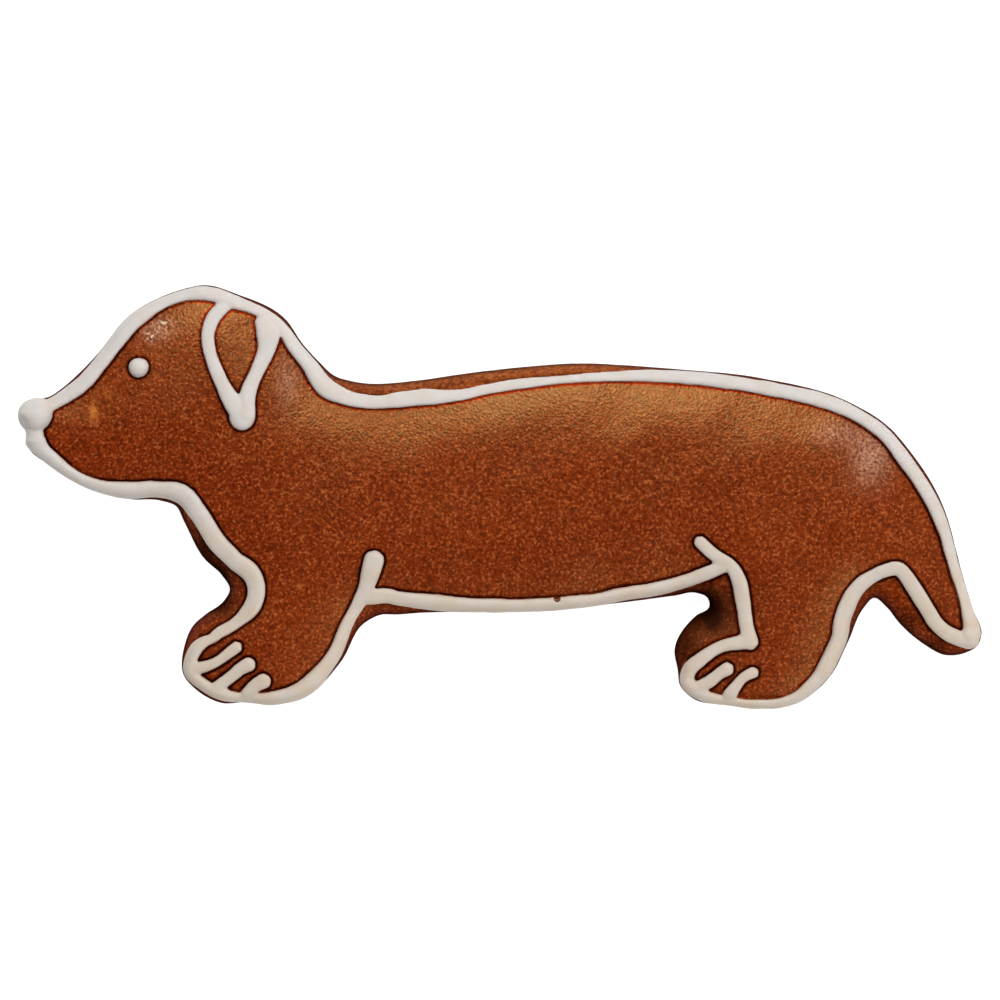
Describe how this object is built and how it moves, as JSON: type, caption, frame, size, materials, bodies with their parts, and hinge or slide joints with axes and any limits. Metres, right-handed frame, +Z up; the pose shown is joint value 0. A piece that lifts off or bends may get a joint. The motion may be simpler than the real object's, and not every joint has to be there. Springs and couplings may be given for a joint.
{
  "type": "dachshund-shaped gingerbread cookie",
  "caption": "Flat brown gingerbread cookie cut as a standing dachshund, edged with a piped white icing line, with an icing ear, toes, nose and eye.",
  "frame": {"origin": "middle of the underside of the cookie's box, on the surface that it lies on", "axes": "+X from the nose to the tail, +Y from the paws to the back, +Z up through the thickness, iced side up"},
  "size_m": [0.1304, 0.0578, 0.008],
  "materials": {
    "biscuit": "baked brown crust with a faint egg-wash gloss",
    "icing": "dried royal icing, matte off-white"
  },
  "bodies": {
    "root": {"biscuit": "biscuit", "icing": "icing", "icing_eye": "icing"}
  },
  "joints": []
}
